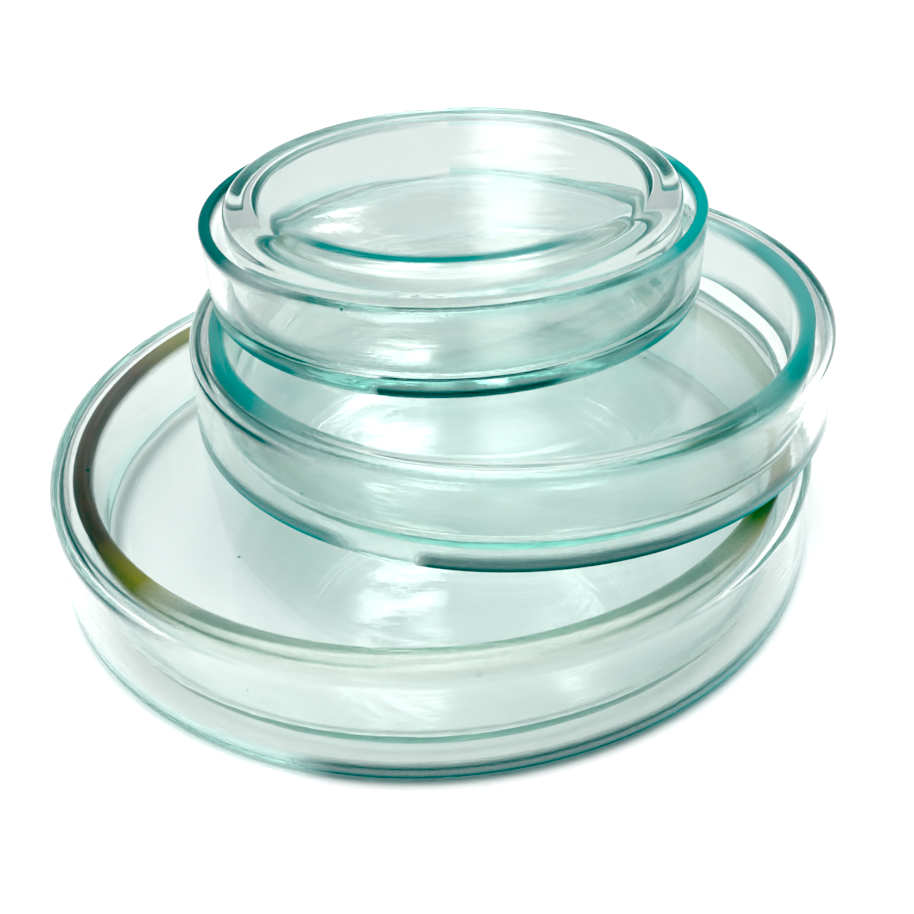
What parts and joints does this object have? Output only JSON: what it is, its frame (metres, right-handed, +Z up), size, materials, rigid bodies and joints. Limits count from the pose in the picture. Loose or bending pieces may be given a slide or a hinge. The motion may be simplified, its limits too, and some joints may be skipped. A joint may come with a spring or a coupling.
{
  "type": "crystallizing dish",
  "caption": "Stack of shallow round glass dishes with loose lids, in diminishing sizes; the top dish stands upside down in its upturned lid.",
  "frame": {"origin": "middle of the large dish's flat underside, which stands on the bench", "axes": "+Z up through the stack; the medium set stands off towards +X and +Y, the small set towards +Y"},
  "size_m": [0.1233, 0.12, 0.0531],
  "materials": {
    "dish_glass": "clear soda-lime glass with a green-blue tint, smooth, ground at the rim",
    "lid_glass": "clear soda-lime glass with a faint green-blue tint, smooth, with drawn ripples"
  },
  "bodies": {
    "large_dish_body": {"large_dish": "dish_glass"},
    "large_lid_body": {"large_lid": "lid_glass"},
    "medium_dish_body": {"medium_dish": "dish_glass"},
    "medium_lid_body": {"medium_lid": "lid_glass"},
    "small_lid_body": {"small_lid": "lid_glass"},
    "small_dish_body": {"small_dish": "dish_glass"}
  },
  "joints": [
    {"name": "large_lid_lift", "type": "slide", "parent": "large_dish_body", "child": "large_lid_body", "axis": [0, 0, 1], "range_m": [0, 0.03]},
    {"name": "medium_dish_lift", "type": "slide", "parent": "large_lid_body", "child": "medium_dish_body", "axis": [0, 0, 1], "range_m": [0, 0.025]},
    {"name": "medium_lid_lift", "type": "slide", "parent": "medium_dish_body", "child": "medium_lid_body", "axis": [0, 0, 1], "range_m": [0, 0.03]},
    {"name": "small_lid_lift", "type": "slide", "parent": "medium_lid_body", "child": "small_lid_body", "axis": [0, 0, 1], "range_m": [0, 0.025]},
    {"name": "small_dish_lift", "type": "slide", "parent": "small_lid_body", "child": "small_dish_body", "axis": [0, 0, 1], "range_m": [0, 0.025]}
  ]
}
